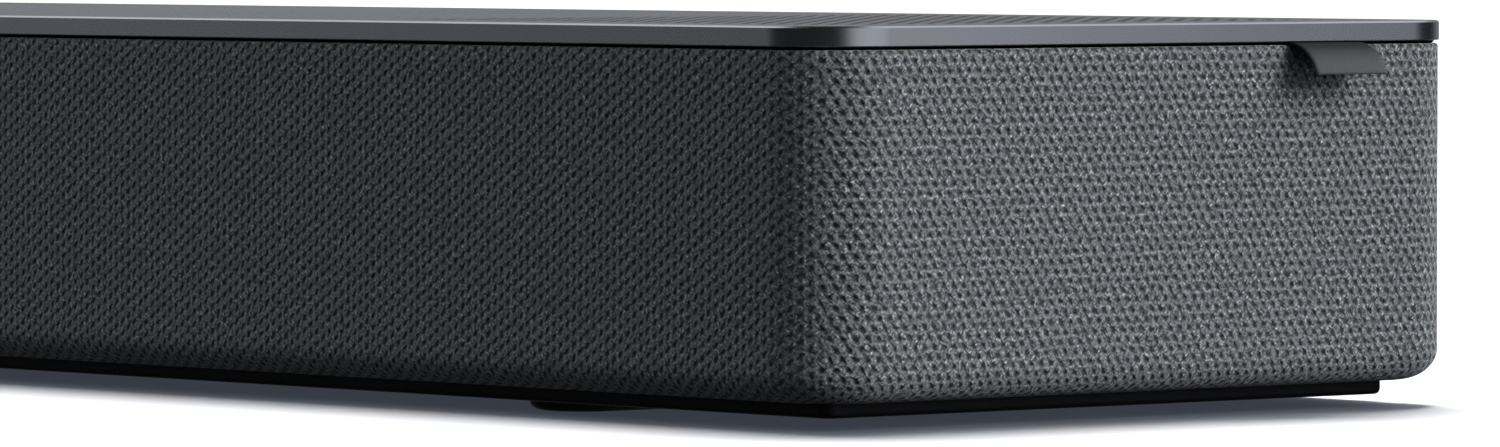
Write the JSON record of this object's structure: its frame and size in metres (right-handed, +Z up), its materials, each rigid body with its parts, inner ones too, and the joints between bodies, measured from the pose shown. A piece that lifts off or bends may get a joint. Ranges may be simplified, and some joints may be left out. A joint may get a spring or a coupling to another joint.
{
  "type": "soundbar",
  "caption": "Slim soundbar with a dark aluminium top plate, a knitted fabric wrap over front and ends, an inset black base on soft feet, and front and upward drivers inside.",
  "frame": {"origin": "on the ground under the middle of the bar", "axes": "+X along the bar to its right-hand end with the label tab, the front faces -Y, +Z up"},
  "size_m": [1.007, 0.145, 0.065],
  "materials": {
    "anodised_cover": "fine brushed dark grey anodised",
    "melange_knit": "charcoal melange mesh knit",
    "black_plastic": "fine moulded texture",
    "woven_label": "satin woven",
    "foot_rubber": "soft matt",
    "dust_cloth": "black acoustic cloth",
    "basket_steel": "black paint",
    "cone_paper": "coated paper",
    "surround_rubber": "matt",
    "dome_silk": "coated silk",
    "key_plastic": "satin",
    "circuit_board": "solder mask",
    "bare_aluminium": "extruded",
    "brass": "turned",
    "ribbon_plastic": "smooth",
    "lead_jacket": "smooth",
    "screw_steel": "zinc",
    "transformer_core": "varnished",
    "capacitor_sleeve": "shrink sleeve",
    "socket_steel": "plated"
  },
  "bodies": {
    "root": {"amp_board": "circuit_board", "board_screws": "screw_steel", "connector_pan": "black_plastic", "connector_panel": "black_plastic", "control_board": "circuit_board", "deck_screws": "screw_steel", "display_board": "circuit_board", "driver_screws": "screw_steel", "dust_screen_left": "dust_cloth", "dust_screen_right": "dust_cloth", "fabric_wrap": "melange_knit", "foot_front_left": "foot_rubber", "foot_front_right": "foot_rubber", "foot_rear_left": "foot_rubber", "foot_rear_right": "foot_rubber", "front_baffle": "black_plastic", "grille_frame": "black_plastic", "hdmi_input": "socket_steel", "hdmi_output": "socket_steel", "heat_sink": "bare_aluminium", "inlet_pan": "black_plastic", "key_ribbon": "ribbon_plastic", "label_tab": "woven_label", "lower_case": "black_plastic", "main_board": "circuit_board", "mains_inlet": "black_plastic", "optical_socket": "black_plastic", "power_board": "circuit_board", "power_transformer": "transformer_core", "rear_panel_left": "black_plastic", "rear_panel_right": "black_plastic", "reservoir_capacitors": "capacitor_sleeve", "speaker_leads": "lead_jacket", "top_cover": "anodised_cover", "top_deck": "black_plastic", "tweeter_left_body": "basket_steel", "tweeter_right_body": "basket_steel", "upfire_cradle_left": "black_plastic", "upfire_cradle_right": "black_plastic", "upfire_left_frame": "basket_steel", "upfire_left_surround": "surround_rubber", "upfire_right_frame": "basket_steel", "upfire_right_surround": "surround_rubber", "usb_socket": "socket_steel", "wall_inserts": "brass", "woofer_center_frame": "basket_steel", "woofer_center_surround": "surround_rubber", "woofer_left_frame": "basket_steel", "woofer_left_surround": "surround_rubber", "woofer_right_frame": "basket_steel", "woofer_right_surround": "surround_rubber"},
    "key_power": {"key_power": "key_plastic"},
    "key_input": {"key_input": "key_plastic"},
    "key_volume_down": {"key_volume_down": "key_plastic"},
    "key_volume_up": {"key_volume_up": "key_plastic"},
    "setup_button": {"setup_button": "key_plastic"},
    "woofer_left_cone": {"woofer_left_cone": "cone_paper"},
    "woofer_center_cone": {"woofer_center_cone": "cone_paper"},
    "woofer_right_cone": {"woofer_right_cone": "cone_paper"},
    "tweeter_left_dome": {"tweeter_left_dome": "dome_silk"},
    "upfire_left_cone": {"upfire_left_cone": "cone_paper"},
    "tweeter_right_dome": {"tweeter_right_dome": "dome_silk"},
    "upfire_right_cone": {"upfire_right_cone": "cone_paper"}
  },
  "joints": [
    {"name": "key_power_travel", "type": "slide", "parent": "root", "child": "key_power", "axis": [0, 0, -1], "range_m": [0, 0.0005], "stiffness_N_per_m": 1500, "springref_m": -0.0003},
    {"name": "key_input_travel", "type": "slide", "parent": "root", "child": "key_input", "axis": [0, 0, -1], "range_m": [0, 0.0005], "stiffness_N_per_m": 1500, "springref_m": -0.0003},
    {"name": "key_volume_down_travel", "type": "slide", "parent": "root", "child": "key_volume_down", "axis": [0, 0, -1], "range_m": [0, 0.0005], "stiffness_N_per_m": 1500, "springref_m": -0.0003},
    {"name": "key_volume_up_travel", "type": "slide", "parent": "root", "child": "key_volume_up", "axis": [0, 0, -1], "range_m": [0, 0.0005], "stiffness_N_per_m": 1500, "springref_m": -0.0003},
    {"name": "setup_button_travel", "type": "slide", "parent": "root", "child": "setup_button", "axis": [0, -1, 0], "range_m": [0, 0.0004], "stiffness_N_per_m": 1500, "springref_m": -0.0003},
    {"name": "woofer_left_cone_travel", "type": "slide", "parent": "root", "child": "woofer_left_cone", "axis": [0, -1, 0], "range_m": [-0.003, 0.003], "stiffness_N_per_m": 1200, "deforming": ["woofer_left_surround"]},
    {"name": "woofer_center_cone_travel", "type": "slide", "parent": "root", "child": "woofer_center_cone", "axis": [0, -1, 0], "range_m": [-0.003, 0.003], "stiffness_N_per_m": 1200, "deforming": ["woofer_center_surround"]},
    {"name": "woofer_right_cone_travel", "type": "slide", "parent": "root", "child": "woofer_right_cone", "axis": [0, -1, 0], "range_m": [-0.003, 0.003], "stiffness_N_per_m": 1200, "deforming": ["woofer_right_surround"]},
    {"name": "tweeter_left_dome_travel", "type": "slide", "parent": "root", "child": "tweeter_left_dome", "axis": [0, -1, 0], "range_m": [-0.0003, 0.0003], "stiffness_N_per_m": 3000},
    {"name": "upfire_left_cone_travel", "type": "slide", "parent": "root", "child": "upfire_left_cone", "axis": [0, -0.2079, 0.9781], "range_m": [-0.0025, 0.0025], "stiffness_N_per_m": 1500, "deforming": ["upfire_left_surround"]},
    {"name": "tweeter_right_dome_travel", "type": "slide", "parent": "root", "child": "tweeter_right_dome", "axis": [0, -1, 0], "range_m": [-0.0003, 0.0003], "stiffness_N_per_m": 3000},
    {"name": "upfire_right_cone_travel", "type": "slide", "parent": "root", "child": "upfire_right_cone", "axis": [0, -0.2079, 0.9781], "range_m": [-0.0025, 0.0025], "stiffness_N_per_m": 1500, "deforming": ["upfire_right_surround"]}
  ]
}
